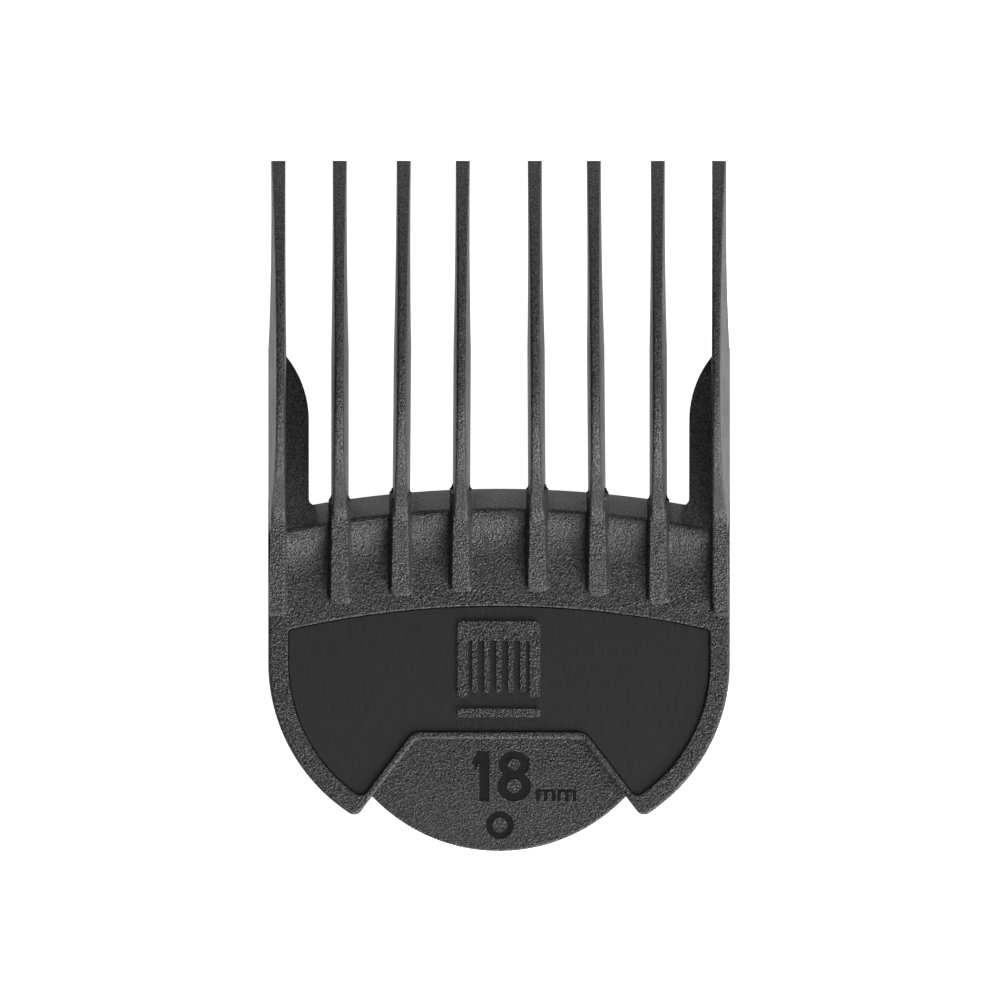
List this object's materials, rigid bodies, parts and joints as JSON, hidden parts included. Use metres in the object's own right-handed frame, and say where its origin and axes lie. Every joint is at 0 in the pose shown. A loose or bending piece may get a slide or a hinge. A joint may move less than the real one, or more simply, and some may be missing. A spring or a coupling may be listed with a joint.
{
  "type": "clipper guard comb",
  "caption": "Attachment comb for a hair clipper: long curved teeth on a flat body with side rails for the blade and a sprung release lever.",
  "frame": {"origin": "centre of the bounding box's bottom face; the comb lies on its back", "axes": "+X across the teeth, +Y from the tab towards the tooth tips, +Z out of the skin side"},
  "size_m": [0.048, 0.0718, 0.0222],
  "materials": {
    "comb_moulding": "fine spark-eroded texture, satin black",
    "inlay": "smooth, faintly brushed, satin black",
    "emblem": "fine texture, satin black",
    "lever_moulding": "fine spark-eroded texture, satin black",
    "mark_fill": "smooth, half gloss",
    "pin_steel": "ground",
    "spring_steel": "drawn wire"
  },
  "bodies": {
    "comb": {"face_plate": "comb_moulding", "front_web": "comb_moulding", "side_wall_left": "comb_moulding", "side_wall_right": "comb_moulding", "blade_ledge_left": "comb_moulding", "blade_ledge_right": "comb_moulding", "rear_rail_left": "comb_moulding", "rear_rail_right": "comb_moulding", "pivot_lug_left": "comb_moulding", "pivot_lug_right": "comb_moulding", "face_inlay": "inlay", "emblem": "emblem", "hinge_pin": "pin_steel", "tooth_1": "comb_moulding", "tooth_2": "comb_moulding", "tooth_3": "comb_moulding", "tooth_4": "comb_moulding", "tooth_5": "comb_moulding", "tooth_6": "comb_moulding", "tooth_7": "comb_moulding", "tooth_8": "comb_moulding", "return_spring": "spring_steel"},
    "lever": {"release_lever": "lever_moulding", "size_mark": "mark_fill", "press_ring": "mark_fill"}
  },
  "joints": [
    {"name": "lever_press", "type": "hinge", "parent": "comb", "child": "lever", "pos_m": [0, -0.0216, 0.0046], "axis": [1, 0, 0], "range_deg": [0, 10], "stiffness_Nm_per_rad": 0.02, "springref_deg": -20.05, "deforming": ["return_spring"]}
  ]
}
